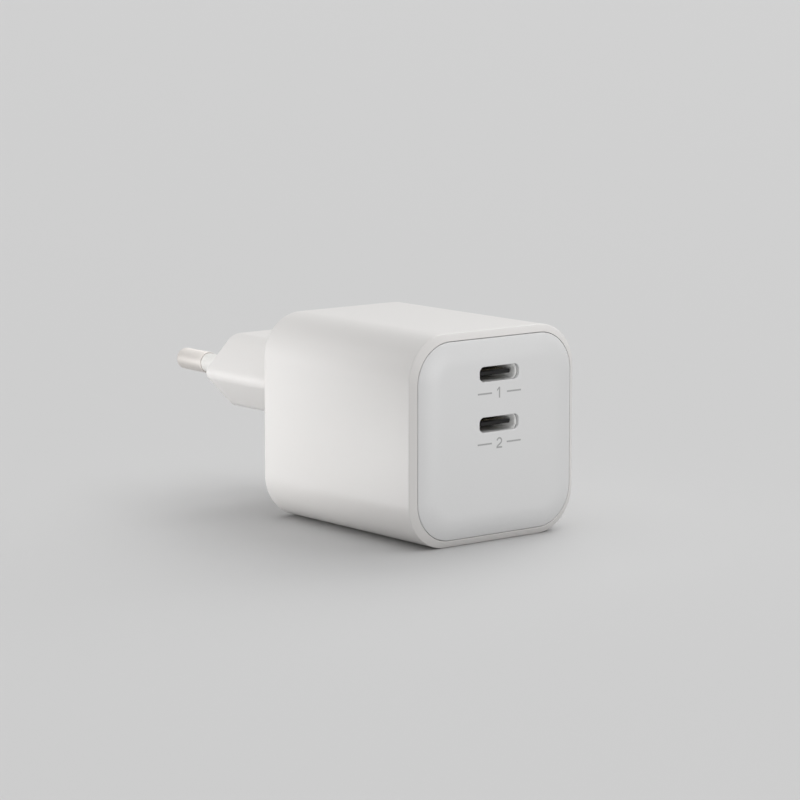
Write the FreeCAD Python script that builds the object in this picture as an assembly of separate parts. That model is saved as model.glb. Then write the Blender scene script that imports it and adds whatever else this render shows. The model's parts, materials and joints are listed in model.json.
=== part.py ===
"""Mains adapter with two stacked USB-C sockets and a flat two-pin European plug.

Millimetres. +Z is up and X is across. The sockets face -Y and the pins point to +Y.
The origin is on the floor, at the middle of the whole length.
"""
import FreeCAD, Part
import math
import os
from FreeCAD import Vector

# Housing
body_width = 37.2
body_height = 37.2
body_depth = 42.8
body_corner_radius = 7.9
rear_edge_radius = 1.2
wall = 2.0
rear_wall = 2.2
rim_width = 1.26
rim_slope = 0.84
rim_edge_radius = 0.25

# Front panel
panel_gap = 0.1
panel_corner_radius = 7.05
panel_crown = 1.09
panel_crown_width = 4.3
panel_edge_depth = 1.5
panel_thickness = 2.4
panel_edge_radius = 0.2
skirt_wall = 1.2
skirt_depth = 2.6
skirt_clearance = 0.1

# Socket slots in the front panel
slot_width = 8.8
slot_height = 2.64
slot_end_radius = 0.95
slot_lip = 0.5
slot_mouth_radius = 0.15
port_spacing = 8.82
ports_above_middle = 6.73

# Socket shells, tongues and contacts
shell_width = 8.94
shell_height = 3.2
shell_wall = 0.3
shell_length = 7.2
shell_clearance = 0.1
tongue_width = 6.69
tongue_height = 0.7
tongue_recess = 0.55
tongue_tip_radius = 0.2
tongue_base_depth = 2.0
tongue_fit = 0.03
contacts_per_face = 12
contact_pitch = 0.5
contact_width = 0.26
contact_thickness = 0.06
contact_length = 2.6
contact_setback = 1.3

# Plug block and pins
plug_width = 34.6
plug_height = 13.7
plug_length = 19.4
plug_above_middle = 5.65
plug_nose_radius = 1.7
plug_shoulder_radius = 4.0
plug_edge_radius = 0.6
plug_wall = 1.8
plug_face_wall = 3.0
pin_diameter = 4.0
pin_length = 19.0
pin_bare_length = 8.6
pin_tip_radius = 1.0
pin_root_spacing = 18.6
pin_tip_spacing = 17.5
pin_neck_diameter = 3.0
pin_collar_diameter = 5.6
pin_collar_thickness = 1.2
pin_root_proud = 1.2
sleeve_diameter = 3.6
sleeve_embedded = 2.0
sleeve_fit = 0.02
pin_hole_fit = 0.1
pin_hole_overshoot = 1.0
carrier_depth = 5.0
carrier_clearance = 0.1
strip_width = 3.0
strip_thickness = 0.5
strip_bend_radius = 0.6
strip_tab_height = 3.4
strip_wall_gap = 0.4

# Circuit boards
board_thickness = 1.4
board_rise = 2.6
board_side_clearance = 0.6
board_end_clearance = 0.4
board_corner_radius = 1.0
rib_width = 1.6
rib_inset = 1.2
port_board_width = 24.0
port_board_thickness = 1.2
port_board_top_clearance = 1.6
port_board_corner_radius = 0.8

# Parts on the port board
buck_size = 6.4
buck_height = 3.0
buck_edge = 0.5
controller_size = 5.0
controller_height = 0.85
controller_x = 8.0
controller_above_board = 13.0

# Parts on the main board
part_edge_margin = 0.5
transformer_width = 15.5
transformer_depth = 9.0
transformer_height = 22.0
transformer_standoff = 0.5
core_plate = 3.6
core_leg_radius = 3.3
core_window_radius = 6.0
core_edge = 0.4
bobbin_wall = 0.8
bobbin_fit = 0.15
bobbin_rail_width = 10.0
bobbin_rail_depth = 1.6
winding_inset = 0.5
bulk_height = 24.0
bulk_pitch_gap = 0.8
bulk_end_gap = 0.6
bulk_groove = 0.5
bulk_groove_height = 2.6
bulk_edge = 0.7
output_diameter = 5.0
output_height = 8.0
output_base = 5.3
output_base_height = 1.2
output_base_chamfer = 1.2
output_edge = 0.6
output_gap = 0.7
output_setback = 0.8
film_width = 11.5
film_depth = 5.2
film_height = 11.0
film_edge = 0.6
rear_row_gap = 2.4
choke_diameter = 7.6
choke_hole = 3.8
choke_depth = 3.6
choke_wire = 0.6
choke_fit = 0.02
choke_wound_angle = 140.0
choke_gap = 0.8
fuse_diameter = 3.6
fuse_height = 9.5
fuse_cap_diameter = 4.0
fuse_cap_length = 2.0
disc_diameter = 6.6
disc_thickness = 3.0
disc_edge = 1.2
disc_lead_diameter = 0.6
disc_lead_spacing = 5.0
disc_lead_height = 1.4
disc_setback = 1.0
barrier_thickness = 0.4
barrier_height = 20.0
barrier_fit = 0.1
barrier_from_core = 1.2

# Parts under the main board
rectifier_width = 6.5
rectifier_depth = 5.0
rectifier_height = 1.5
switch_width = 6.0
switch_depth = 8.0
switch_height = 0.9
sync_width = 5.0
sync_depth = 6.0
sync_height = 1.1
opto_width = 4.6
opto_depth = 7.0
opto_height = 2.0
package_chamfer = 0.25

# Heat spreader
spreader_thickness = 0.5
spreader_clearance = 0.25
spreader_front_gap = 0.6
spreader_rear_gap = 3.0
rail_rise = 1.4
rail_width = 1.6
rail_height = 1.2
pad_inset = 1.0

# Tolerances: how flat an edge lies in a plane, and the flat left at a fully round end
plane_tolerance = 1e-5
round_end_flat = 2e-3

# Stations along the length
toe_angle = math.atan((pin_root_spacing - pin_tip_spacing) / 2 / pin_length)
pin_end_radius = pin_diameter / 2 - pin_tip_radius
pin_reach = pin_length * math.cos(toe_angle) + pin_end_radius * math.sin(toe_angle)
whole_length = panel_crown + body_depth + plug_length + pin_reach
front_y = -whole_length / 2
gap_y = front_y + panel_crown
seat_y = gap_y + panel_edge_depth
panel_back_y = front_y + panel_thickness
skirt_end_y = seat_y + skirt_depth
rear_y = gap_y + body_depth
cavity_rear_y = rear_y - rear_wall
engage_y = rear_y + plug_length
plug_floor_y = engage_y - plug_face_wall
carrier_back_y = plug_floor_y - carrier_depth
pin_root_y = carrier_back_y - pin_root_proud
shell_front_y = front_y + slot_lip + shell_clearance
port_board_y = shell_front_y + shell_length
port_board_back_y = port_board_y + port_board_thickness
board_front_y = skirt_end_y + board_end_clearance
board_rear_y = cavity_rear_y - board_end_clearance
strip_y = cavity_rear_y - strip_wall_gap - strip_thickness

# Levels and breadths
middle_z = body_height / 2
plug_z = middle_z + plug_above_middle
port_levels = {
    "upper": middle_z + ports_above_middle + port_spacing / 2,
    "lower": middle_z + ports_above_middle - port_spacing / 2,
}
cavity_width = body_width - 2 * wall
cavity_height = body_height - 2 * wall
cavity_radius = body_corner_radius - wall
cavity_top_z = body_height - wall
board_bottom_z = wall + board_rise
board_top_z = board_bottom_z + board_thickness
corner_drop = max(cavity_radius - board_rise, 0)
corner_intrusion = cavity_radius - math.sqrt(cavity_radius ** 2 - corner_drop ** 2)
board_half_width = cavity_width / 2 - corner_intrusion - board_side_clearance
part_half_width = board_half_width - part_edge_margin
rail_top_z = board_top_z + rail_rise
panel_width = body_width - 2 * (rim_width + panel_gap)
panel_height = body_height - 2 * (rim_width + panel_gap)
spreader_top_z = cavity_top_z - spreader_clearance - spreader_thickness
port_board_top_z = cavity_top_z - port_board_top_clearance

# Rows of parts on the main board, kept from the front, from the rear and between the two
film_y = strip_y - rear_row_gap - film_depth
rear_row_middle_y = film_y + film_depth / 2
front_row_end_y = port_board_back_y + output_setback + output_base
rail_reach = transformer_depth / 2 + bobbin_fit + bobbin_rail_depth
barrier_reach = core_window_radius + barrier_from_core + barrier_thickness
middle_row_y = (front_row_end_y + barrier_reach + film_y - rail_reach) / 2
barrier_y = middle_row_y - barrier_reach
disc_end_y = port_board_back_y + disc_setback + disc_thickness
rear_row_start_y = rear_row_middle_y - max(choke_depth / 2 + choke_wire, fuse_cap_diameter / 2)
bulk_row_y = (disc_end_y + rear_row_start_y) / 2
bulk_diameter = (rear_row_start_y - disc_end_y - bulk_pitch_gap) / 2 - bulk_end_gap
spreader_front_y = port_board_back_y + buck_height + spreader_front_gap
transformer_x = -part_half_width + transformer_width / 2
bulk_x = part_half_width - bulk_diameter / 2
core_bottom_z = board_top_z + transformer_standoff
core_top_z = core_bottom_z + transformer_height

# Room for the lean of the pins where their flat faces meet flat walls
collar_gap = pin_collar_diameter / 2 * math.tan(toe_angle) + pin_hole_fit
root_gap = sleeve_diameter / 2 * math.tan(toe_angle) + pin_hole_fit


def rounded_outline(corners, y):
    """Closed wire at y through (x, z, radius) corners, each rounded by an arc."""
    count = len(corners)
    starts = []
    edges = []
    for index, (x, z, radius) in enumerate(corners):
        here = Vector(x, y, z)
        before = Vector(corners[index - 1][0], y, corners[index - 1][1]) - here
        after = Vector(corners[(index + 1) % count][0], y, corners[(index + 1) % count][1]) - here
        half_angle = before.getAngle(after) / 2
        before.normalize()
        after.normalize()
        bisector = before + after
        bisector.normalize()
        centre = here + bisector * (radius / math.sin(half_angle))
        reach = radius / math.tan(half_angle)
        starts.append((here + before * reach, centre - bisector * radius, here + after * reach))
    for index, (arc_start, arc_middle, arc_end) in enumerate(starts):
        edges.append(Part.Arc(arc_start, arc_middle, arc_end).toShape())
        next_start = starts[(index + 1) % count][0]
        if arc_end.distanceToPoint(next_start) > plane_tolerance:
            edges.append(Part.LineSegment(arc_end, next_start).toShape())
    return Part.Wire(edges)


def rounded_rectangle(width, height, radius, y, x=0.0, z=None):
    """Rounded rectangle across the length, centred on the body unless x and z are given."""
    z = middle_z if z is None else z
    left, right = x - width / 2, x + width / 2
    low, high = z - height / 2, z + height / 2
    corners = [(right, low), (right, high), (left, high), (left, low)]
    return rounded_outline([(x, z, radius) for x, z in corners], y)


def plug_outline(offset, y):
    """Hexagon of the flat plug, with 45 degree flanks, moved inwards by offset."""
    half_height = plug_height / 2 - offset
    vertex = plug_width / 2 + plug_nose_radius * (math.sqrt(2) - 1) - offset * math.sqrt(2)
    shoulder = vertex - half_height
    nose = max(plug_nose_radius - offset, plug_edge_radius / 2)
    round_off = max(plug_shoulder_radius - offset, plug_edge_radius / 2)
    low, high = plug_z - half_height, plug_z + half_height
    corners = [
        (vertex, plug_z, nose), (shoulder, high, round_off), (-shoulder, high, round_off),
        (-vertex, plug_z, nose), (-shoulder, low, round_off), (shoulder, low, round_off),
    ]
    return rounded_outline(corners, y)


def extruded(wire, y_end):
    """Solid from a wire across the length, drawn out along Y to y_end."""
    face = Part.Face(wire)
    return face.extrude(Vector(0, y_end - face.CenterOfMass.y, 0))


def block(x0, x1, y0, y1, z0, z1):
    """Rectangular solid between two corners."""
    return Part.makeBox(x1 - x0, y1 - y0, z1 - z0, Vector(x0, y0, z0))


def centred_block(width, depth, height, x, y, z):
    """Rectangular solid standing at z, centred on x and y."""
    return block(x - width / 2, x + width / 2, y - depth / 2, y + depth / 2, z, z + height)


def in_plane(low, high, place):
    """Whether a span from low to high lies in the plane at a place."""
    return max(abs(low - place), abs(high - place)) < plane_tolerance


def edges_at_y(shape, y):
    """Edges of a shape that lie wholly in the plane at y."""
    return [e for e in shape.Edges if in_plane(e.BoundBox.YMin, e.BoundBox.YMax, y)]


def edges_at_z(shape, z):
    """Edges of a shape that lie wholly in the plane at z."""
    return [e for e in shape.Edges if in_plane(e.BoundBox.ZMin, e.BoundBox.ZMax, z)]


def upright_edges(shape):
    """Straight edges of a shape that run along Z."""
    return [e for e in shape.Edges if max(e.BoundBox.XLength, e.BoundBox.YLength) < plane_tolerance]


def turned(profile, x, y, z):
    """Solid turned about an upright axis from (radius, height) points."""
    points = [Vector(x + radius, y, z + height) for radius, height in profile]
    face = Part.Face(Part.makePolygon(points + points[:1]))
    return face.revolve(Vector(x, y, z), Vector(0, 0, 1), 360)


def make_housing():
    """Square cup with a sloped rim, a seat for the panel, board ribs and the hollow plug block."""
    lip_width = body_width - 2 * rim_width
    lip_height = body_height - 2 * rim_width
    lip_radius = panel_corner_radius + panel_gap
    slope_end_y = gap_y + rim_slope
    lip = rounded_rectangle(lip_width, lip_height, lip_radius, gap_y)
    shoulder = rounded_rectangle(body_width, body_height, body_corner_radius, slope_end_y)
    rim = Part.makeLoft([lip, shoulder], True, True)
    outside = rim.fuse(extruded(shoulder, rear_y))
    outside = outside.makeFillet(rear_edge_radius, edges_at_y(outside, rear_y))
    outside = outside.makeFillet(rim_edge_radius, edges_at_y(outside, slope_end_y))
    plug = extruded(plug_outline(0, cavity_rear_y), engage_y)
    plug = plug.makeFillet(plug_edge_radius, edges_at_y(plug, engage_y))
    moulding = outside.fuse(plug)

    seat = extruded(rounded_rectangle(lip_width, lip_height, lip_radius, gap_y), seat_y)
    cavity = extruded(rounded_rectangle(cavity_width, cavity_height, cavity_radius, seat_y), cavity_rear_y)
    plug_hollow = extruded(plug_outline(plug_wall, cavity_rear_y), plug_floor_y)
    moulding = moulding.cut(seat.fuse(cavity).fuse(plug_hollow))
    for side in (-1, 1):
        moulding = moulding.cut(pin_hole(side, plug_floor_y, engage_y))
        moulding = moulding.fuse(board_rib(side)).fuse(spreader_rail(side))
    return moulding.removeSplitter()


def board_rib(side):
    """Rib on the housing's floor that carries one edge of the main board."""
    outer = side * (board_half_width - rib_inset)
    inner = outer - side * rib_width
    floor_z = wall / 2
    return block(min(outer, inner), max(outer, inner), board_front_y, cavity_rear_y, floor_z, board_bottom_z)


def spreader_rail(side):
    """Rail on a side wall that one leg of the heat spreader stands on."""
    outer = side * (cavity_width / 2 + wall / 2)
    inner = side * (cavity_width / 2 - rail_width)
    return block(min(outer, inner), max(outer, inner), spreader_front_y, cavity_rear_y,
                 rail_top_z - rail_height, rail_top_z)


def make_pillow():
    """Slab with one wide fillet round its front edge, trimmed to the outline of the panel."""
    bend = 2 * math.atan(panel_crown / panel_crown_width)
    crown_radius = panel_crown_width / math.sin(bend)
    grow = crown_radius - panel_crown_width
    slab = extruded(rounded_rectangle(panel_width + 2 * grow, panel_height + 2 * grow,
                                      panel_corner_radius + grow, front_y), front_y + 2 * crown_radius)
    slab = slab.makeFillet(crown_radius, edges_at_y(slab, front_y))
    outline = rounded_rectangle(panel_width, panel_height, panel_corner_radius, front_y)
    return slab.common(extruded(outline, seat_y))


def make_front_panel():
    """Pillowed lid with a locating skirt, two slots and the pockets for the socket shells."""
    skirt_width = cavity_width - 2 * skirt_clearance
    skirt_height = cavity_height - 2 * skirt_clearance
    skirt_radius = cavity_radius - skirt_clearance
    skirt = extruded(rounded_rectangle(skirt_width, skirt_height, skirt_radius, seat_y), skirt_end_y)
    hollow = extruded(rounded_rectangle(skirt_width - 2 * skirt_wall, skirt_height - 2 * skirt_wall,
                                        skirt_radius - skirt_wall, panel_back_y), skirt_end_y)
    panel = make_pillow().fuse(skirt).removeSplitter()
    panel = panel.makeFillet(panel_edge_radius, edges_at_y(panel, gap_y)).cut(hollow)
    for level in port_levels.values():
        panel = panel.cut(extruded(slot_outline(front_y, level), panel_back_y))
        pocket_y = front_y + slot_lip
        panel = panel.cut(extruded(shell_outline(shell_clearance, pocket_y, level), skirt_end_y))
    mouths = [e for e in edges_at_y(panel, front_y) if e.BoundBox.XLength < slot_width
              and e.BoundBox.XMax < slot_width and abs(e.CenterOfMass.x) < slot_width / 2 + slot_lip]
    return panel.makeFillet(slot_mouth_radius, mouths)


def slot_outline(y, level):
    """Outline of one socket slot in the front panel."""
    return rounded_rectangle(slot_width, slot_height, slot_end_radius, y, 0.0, level)


def shell_outline(offset, y, level):
    """Round-ended outline of a socket shell, grown by offset."""
    height = shell_height + 2 * offset
    return rounded_rectangle(shell_width + 2 * offset, height, (height - round_end_flat) / 2, y, 0.0, level)


def make_port_shell(level):
    """Drawn steel shell, open at the front, that stands on the port board."""
    outside = extruded(shell_outline(0, shell_front_y, level), port_board_y)
    return outside.cut(extruded(shell_outline(-shell_wall, shell_front_y, level), port_board_y))


def make_port_tongue(level):
    """Insulating base that fills the back of a shell, with the thin tongue in front of it."""
    base_y = port_board_y - tongue_base_depth
    base = extruded(shell_outline(-shell_wall - tongue_fit, base_y, level), port_board_y)
    tip_y = shell_front_y + tongue_recess
    outline = rounded_rectangle(tongue_width, tongue_height, tongue_tip_radius, tip_y, 0.0, level)
    return base.fuse(extruded(outline, base_y)).removeSplitter()


def make_port_contacts(level):
    """Contact strips on both faces of a tongue, as one group."""
    start_y = shell_front_y + tongue_recess + contact_setback
    strips = []
    for index in range(contacts_per_face):
        x = (index - (contacts_per_face - 1) / 2) * contact_pitch
        for low_z in (level + tongue_height / 2, level - tongue_height / 2 - contact_thickness):
            strips.append(block(x - contact_width / 2, x + contact_width / 2, start_y,
                                start_y + contact_length, low_z, low_z + contact_thickness))
    return Part.Compound(strips)


def toed_in(shape, side):
    """Turns a shape about its pin's root so that the pins lean towards each other."""
    root = Vector(side * pin_root_spacing / 2, engage_y, plug_z)
    return shape.rotate(root, Vector(0, 0, 1), side * math.degrees(toe_angle))


def pin_rod(side, radius, y_start, y_end):
    """Round rod along one pin's axis."""
    start = Vector(side * pin_root_spacing / 2, y_start, plug_z)
    return toed_in(Part.makeCylinder(radius, y_end - y_start, start, Vector(0, 1, 0)), side)


def pin_hole(side, y_start, y_end):
    """Hole for a sleeved pin, run past both ends because the pin leans."""
    radius = sleeve_diameter / 2 + pin_hole_fit
    return pin_rod(side, radius, y_start - pin_hole_overshoot, y_end + pin_hole_overshoot)


def make_pin(side):
    """Turned pin: rounded bare tip, thin neck for the sleeve, collar and root."""
    tip_y = engage_y + pin_length
    bare_y = tip_y - pin_bare_length
    neck_y = engage_y - sleeve_embedded
    radius = pin_diameter / 2
    tip = Part.makeCylinder(radius, pin_bare_length, Vector(0, bare_y, 0), Vector(0, 1, 0))
    tip = tip.makeFillet(pin_tip_radius, edges_at_y(tip, tip_y))
    neck = Part.makeCylinder(pin_neck_diameter / 2, bare_y - neck_y, Vector(0, neck_y, 0), Vector(0, 1, 0))
    body_radius = sleeve_diameter / 2
    body = Part.makeCylinder(body_radius, neck_y - pin_root_y, Vector(0, pin_root_y, 0), Vector(0, 1, 0))
    collar_y = plug_floor_y - collar_gap - pin_collar_thickness
    collar = Part.makeCylinder(pin_collar_diameter / 2, pin_collar_thickness,
                               Vector(0, collar_y, 0), Vector(0, 1, 0))
    pin = tip.fuse([neck, body, collar]).removeSplitter()
    pin.translate(Vector(side * pin_root_spacing / 2, 0, plug_z))
    return toed_in(pin, side)


def make_sleeve(side):
    """Insulating tube on a pin's neck, let into the face of the plug."""
    start_y = engage_y - sleeve_embedded
    end_y = engage_y + pin_length - pin_bare_length
    tube = pin_rod(side, sleeve_diameter / 2, start_y, end_y)
    return tube.cut(pin_rod(side, pin_neck_diameter / 2 + sleeve_fit, start_y, end_y))


def make_pin_carrier():
    """Block behind the plug's face that traps the collars of both pins."""
    carrier = extruded(plug_outline(plug_wall + carrier_clearance, carrier_back_y), plug_floor_y)
    collar_room = pin_collar_thickness + 2 * collar_gap
    for side in (-1, 1):
        carrier = carrier.cut(pin_hole(side, carrier_back_y, plug_floor_y))
        carrier = carrier.cut(pin_rod(side, pin_collar_diameter / 2 + pin_hole_fit,
                                      plug_floor_y - collar_room, plug_floor_y + pin_hole_overshoot))
    return carrier


def make_contact_strip(side):
    """Bent strip from the root of a pin, along the plug and down to the main board."""
    lean = (engage_y - pin_root_y) * math.tan(toe_angle)
    x = side * (pin_root_spacing / 2 + lean)
    tab_y = pin_root_y - strip_thickness - root_gap
    tab_top = plug_z + strip_tab_height / 2
    run_z = plug_z - strip_tab_height / 2
    outer = strip_bend_radius + strip_thickness
    corners = [
        (strip_y, board_top_z, 0), (strip_y + strip_thickness, board_top_z, 0),
        (strip_y + strip_thickness, run_z - strip_thickness, strip_bend_radius),
        (tab_y + strip_thickness, run_z - strip_thickness, outer),
        (tab_y + strip_thickness, tab_top, 0), (tab_y, tab_top, 0),
        (tab_y, run_z, strip_bend_radius), (strip_y, run_z, outer),
    ]
    points = [Vector(x - strip_width / 2, y, z) for y, z, _ in corners]
    strip = Part.Face(Part.makePolygon(points + points[:1])).extrude(Vector(strip_width, 0, 0))
    for y, z, radius in corners:
        if radius:
            corner = Vector(x, y, z)
            bends = [e for e in strip.Edges if e.CenterOfMass.distanceToPoint(corner) < plane_tolerance]
            strip = strip.makeFillet(radius, bends)
    return strip


def make_main_board():
    """Flat board on the housing's ribs, slotted for the barrier sheet."""
    board = block(-board_half_width, board_half_width, board_front_y, board_rear_y,
                  board_bottom_z, board_top_z)
    board = board.makeFillet(board_corner_radius, upright_edges(board))
    half_slot = transformer_width / 2 + barrier_fit
    slot = block(transformer_x - half_slot, transformer_x + half_slot, barrier_y - barrier_fit,
                 barrier_y + barrier_thickness + barrier_fit, board_bottom_z, board_top_z)
    return board.cut(slot)


def make_port_board():
    """Upright board behind the sockets, standing on the main board."""
    height = port_board_top_z - board_top_z
    outline = rounded_rectangle(port_board_width, height, port_board_corner_radius, port_board_y,
                                0.0, board_top_z + height / 2)
    return extruded(outline, port_board_back_y)


def make_buck_inductor(level):
    """Moulded square inductor on the back of the port board."""
    half = buck_size / 2
    body = block(-half, half, port_board_back_y, port_board_back_y + buck_height, level - half, level + half)
    along = [e for e in body.Edges if e.BoundBox.YLength > buck_height / 2]
    return body.makeChamfer(buck_edge, along)


def make_port_controller():
    """Flat controller chip on the back of the port board."""
    half = controller_size / 2
    z = board_top_z + controller_above_board
    return block(controller_x - half, controller_x + half, port_board_back_y,
                 port_board_back_y + controller_height, z - half, z + half)


def upright_rod(radius, x, y, z0, z1):
    """Round rod along Z."""
    return Part.makeCylinder(radius, z1 - z0, Vector(x, y, z0))


def make_transformer_core():
    """Ferrite frame with a round middle leg, open at the front and back of its window."""
    core = centred_block(transformer_width, transformer_depth, transformer_height,
                         transformer_x, middle_row_y, core_bottom_z)
    core = core.makeChamfer(core_edge, upright_edges(core))
    window_low, window_high = core_window()
    window = upright_rod(core_window_radius, transformer_x, middle_row_y, window_low, window_high)
    leg = upright_rod(core_leg_radius, transformer_x, middle_row_y, window_low, window_high)
    return core.cut(window.cut(leg))


def core_window():
    """Lowest and highest level of the transformer's window."""
    return core_bottom_z + core_plate, core_top_z - core_plate


def make_transformer_bobbin():
    """Flanged tube on the middle leg, with two rails that stand on the board."""
    low, high = core_window()
    low += bobbin_fit
    high -= bobbin_fit
    bore = core_leg_radius + bobbin_fit
    flange_radius = core_window_radius - bobbin_fit
    bobbin = upright_rod(bore + bobbin_wall, transformer_x, middle_row_y, low, high)
    for z in (low, high - bobbin_wall):
        bobbin = bobbin.fuse(upright_rod(flange_radius, transformer_x, middle_row_y, z, z + bobbin_wall))
    for side in (-1, 1):
        near, far = side * (rail_reach - bobbin_rail_depth), side * rail_reach
        rail = block(transformer_x - bobbin_rail_width / 2, transformer_x + bobbin_rail_width / 2,
                     middle_row_y + min(near, far), middle_row_y + max(near, far),
                     board_top_z, low + bobbin_wall)
        bobbin = bobbin.fuse(rail)
    return bobbin.cut(upright_rod(bore, transformer_x, middle_row_y, low, high)).removeSplitter()


def make_transformer_winding():
    """Wound coil between the bobbin's flanges."""
    low, high = core_window()
    low += 2 * bobbin_fit + bobbin_wall
    high -= 2 * bobbin_fit + bobbin_wall
    inner = core_leg_radius + 2 * bobbin_fit + bobbin_wall
    outer = core_window_radius - bobbin_fit - winding_inset
    coil = upright_rod(outer, transformer_x, middle_row_y, low, high)
    return coil.cut(upright_rod(inner, transformer_x, middle_row_y, low, high))


def make_bulk_capacitor(side):
    """Electrolytic can with the rolled groove near its foot."""
    radius = bulk_diameter / 2
    groove_radius = radius - bulk_groove
    profile = [
        (0, 0), (radius - bulk_groove, 0), (radius, bulk_groove),
        (radius, bulk_groove_height - bulk_groove), (groove_radius, bulk_groove_height),
        (radius, bulk_groove_height + bulk_groove), (radius, bulk_height - bulk_edge),
        (radius - bulk_edge, bulk_height), (0, bulk_height),
    ]
    y = bulk_row_y + side * (bulk_diameter + bulk_pitch_gap) / 2
    return turned(profile, bulk_x, y, board_top_z)


def make_output_capacitor(index):
    """Polymer can on a square base with two cut corners."""
    x = -part_half_width + output_base / 2 + index * (output_base + output_gap)
    y = port_board_back_y + output_setback + output_base / 2
    base = centred_block(output_base, output_base, output_base_height, x, y, board_top_z)
    front_corners = [e for e in upright_edges(base) if e.CenterOfMass.y < y]
    base = base.makeChamfer(output_base_chamfer, front_corners)
    can = upright_rod(output_diameter / 2, x, y, board_top_z, board_top_z + output_height)
    can = can.makeChamfer(output_edge, edges_at_z(can, board_top_z + output_height))
    return base.fuse(can)


def make_mains_filter_capacitor():
    """Boxed film capacitor across the mains, at the rear left of the board."""
    box = block(-part_half_width, -part_half_width + film_width, film_y, film_y + film_depth,
                board_top_z, board_top_z + film_height)
    rounded = upright_edges(box) + edges_at_z(box, board_top_z + film_height)
    return box.makeFillet(film_edge, rounded)


def choke_place():
    """Centre of the choke: beside the film capacitor, standing on the board."""
    reach = choke_diameter / 2 + choke_wire
    x = -part_half_width + film_width + choke_gap + reach
    return Vector(x, rear_row_middle_y, board_top_z + reach)


def make_choke_core():
    """Ferrite ring that stands on edge."""
    start = choke_place() - Vector(0, choke_depth / 2, 0)
    ring = Part.makeCylinder(choke_diameter / 2, choke_depth, start, Vector(0, 1, 0))
    return ring.cut(Part.makeCylinder(choke_hole / 2, choke_depth, start, Vector(0, 1, 0)))


def make_choke_winding():
    """Two wire layers wrapped round opposite sides of the ring."""
    centre = choke_place()
    frames = []
    for grow in (choke_fit, choke_wire):
        near, far = choke_hole / 2 - grow, choke_diameter / 2 + grow
        half = choke_depth / 2 + grow
        corners = [(near, -half), (far, -half), (far, half), (near, half)]
        points = [centre + Vector(radius, y, 0) for radius, y in corners]
        frames.append(Part.Face(Part.makePolygon(points + points[:1])))
    section = frames[1].cut(frames[0]).Faces[0]
    coils = []
    for start in (0, 180):
        turned_section = section.copy().rotate(centre, Vector(0, 1, 0), start - choke_wound_angle / 2)
        coils.append(turned_section.revolve(centre, Vector(0, 1, 0), choke_wound_angle))
    return Part.Compound(coils)


def make_fuse():
    """Tube fuse with two end caps, standing at the rear right."""
    body, cap = fuse_diameter / 2, fuse_cap_diameter / 2
    profile = [
        (0, 0), (cap, 0), (cap, fuse_cap_length), (body, fuse_cap_length),
        (body, fuse_height - fuse_cap_length), (cap, fuse_height - fuse_cap_length),
        (cap, fuse_height), (0, fuse_height),
    ]
    return turned(profile, part_half_width - cap, rear_row_middle_y, board_top_z)


def make_disc_capacitor():
    """Dipped disc on two leads, behind the port board."""
    x = part_half_width - disc_diameter / 2
    y = disc_end_y - disc_thickness / 2
    z = board_top_z + disc_lead_height + disc_diameter / 2
    face_centre = Vector(x, y - disc_thickness / 2, z)
    disc = Part.makeCylinder(disc_diameter / 2, disc_thickness, face_centre, Vector(0, 1, 0))
    rims = [e for e in disc.Edges if e.BoundBox.YLength < plane_tolerance]
    disc = disc.makeChamfer(disc_edge, rims)
    for side in (-1, 1):
        lead_x = x + side * disc_lead_spacing / 2
        disc = disc.fuse(upright_rod(disc_lead_diameter / 2, lead_x, y, board_top_z, z))
    return disc


def make_barrier_sheet():
    """Insulating sheet held in the main board's slot, in front of the transformer."""
    half = transformer_width / 2
    return block(transformer_x - half, transformer_x + half, barrier_y, barrier_y + barrier_thickness,
                 board_bottom_z, board_top_z + barrier_height)


def make_package(width, depth, height, x, y):
    """Flat chip under the main board, with its lower edges chamfered."""
    chip = centred_block(width, depth, height, x, y, board_bottom_z - height)
    return chip.makeChamfer(package_chamfer, edges_at_z(chip, board_bottom_z - height))


def make_heat_spreader():
    """Folded sheet over the top and both sides of the circuit, standing on the side rails."""
    end_y = cavity_rear_y - spreader_rear_gap
    rings = []
    for offset in (spreader_clearance, spreader_clearance + spreader_thickness):
        outline = rounded_rectangle(cavity_width - 2 * offset, cavity_height - 2 * offset,
                                    cavity_radius - offset, spreader_front_y)
        rings.append(extruded(outline, end_y))
    below = block(-body_width, body_width, spreader_front_y, end_y, 0, rail_top_z)
    return rings[0].cut(rings[1]).cut(below)


def make_thermal_pad():
    """Soft pad that fills the space from the transformer up to the flat of the heat spreader."""
    half_depth = transformer_depth / 2 - pad_inset
    flat_edge = cavity_radius - cavity_width / 2
    left = max(transformer_x - transformer_width / 2 + pad_inset, flat_edge)
    right = transformer_x + transformer_width / 2 - pad_inset
    return block(left, right, middle_row_y - half_depth, middle_row_y + half_depth,
                 core_top_z, spreader_top_z)


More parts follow.
